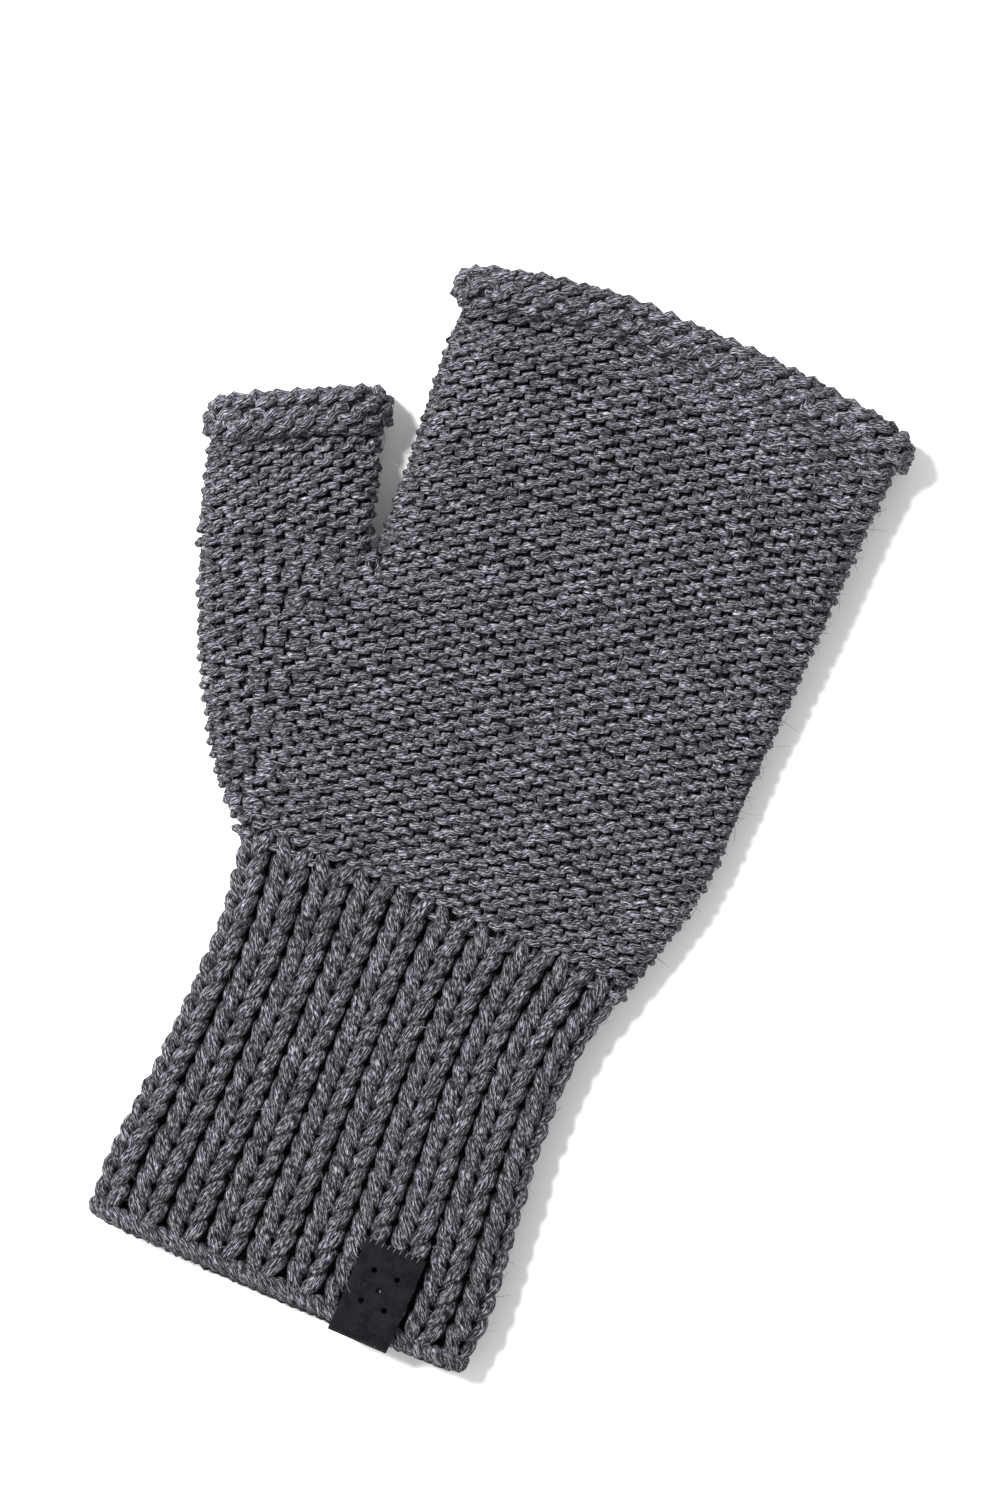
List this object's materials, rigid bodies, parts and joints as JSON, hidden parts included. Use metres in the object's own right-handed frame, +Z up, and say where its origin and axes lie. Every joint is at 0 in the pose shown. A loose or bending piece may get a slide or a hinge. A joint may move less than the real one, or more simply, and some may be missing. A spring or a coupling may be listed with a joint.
{
  "type": "fingerless glove",
  "caption": "Knitted wool fingerless glove lying flat, with a ribbed cuff, purl-side hand, open thumb, rolled edges and a folded suede label at the hem.",
  "frame": {"origin": "below the middle of the glove as it lies palm down, on the surface it rests on", "axes": "+Y from the cuff's hem to the finger opening, +X towards the little-finger side (the thumb is on -X), +Z up, out of the back of the hand"},
  "size_m": [0.1368, 0.2204, 0.0182],
  "materials": {
    "rib_knit": "heather charcoal wool, ribbed",
    "purl_knit": "heather charcoal wool, purl side out",
    "rolled_knit": "heather charcoal wool, knit side out",
    "label_suede": "matt near-black suede",
    "label_thread": "dark sewing thread"
  },
  "bodies": {
    "hand": {"hand_back": "purl_knit", "hand_palm": "purl_knit", "gusset_back": "purl_knit", "gusset_palm": "purl_knit", "finger_roll_back": "rolled_knit", "finger_roll_palm": "rolled_knit", "crotch_stitches_back": "purl_knit", "crotch_stitches_palm": "purl_knit", "wrist_rounds_back": "purl_knit", "wrist_rounds_palm": "purl_knit", "thumb_base_rounds_back": "purl_knit", "thumb_base_rounds_palm": "purl_knit"},
    "cuff": {"cuff_rib_back": "rib_knit", "cuff_rib_palm": "rib_knit", "cast_on_edge_back": "rib_knit", "cast_on_edge_palm": "rib_knit", "folded_label": "label_suede", "label_stitching": "label_thread"},
    "thumb": {"thumb_back": "purl_knit", "thumb_palm": "purl_knit", "thumb_roll_back": "rolled_knit", "thumb_roll_palm": "rolled_knit"}
  },
  "joints": [
    {"name": "wrist_bend", "type": "hinge", "parent": "hand", "child": "cuff", "pos_m": [0.0155, -0.0175, 0.007], "axis": [1, 0, 0], "range_deg": [-50, 50], "deforming": ["wrist_rounds_back", "wrist_rounds_palm"]},
    {"name": "thumb_bend", "type": "hinge", "parent": "hand", "child": "thumb", "pos_m": [-0.04281, 0.03471, 0.00794], "axis": [0.9563, 0.2924, 0], "range_deg": [-45, 45], "deforming": ["thumb_base_rounds_back", "thumb_base_rounds_palm"]}
  ]
}
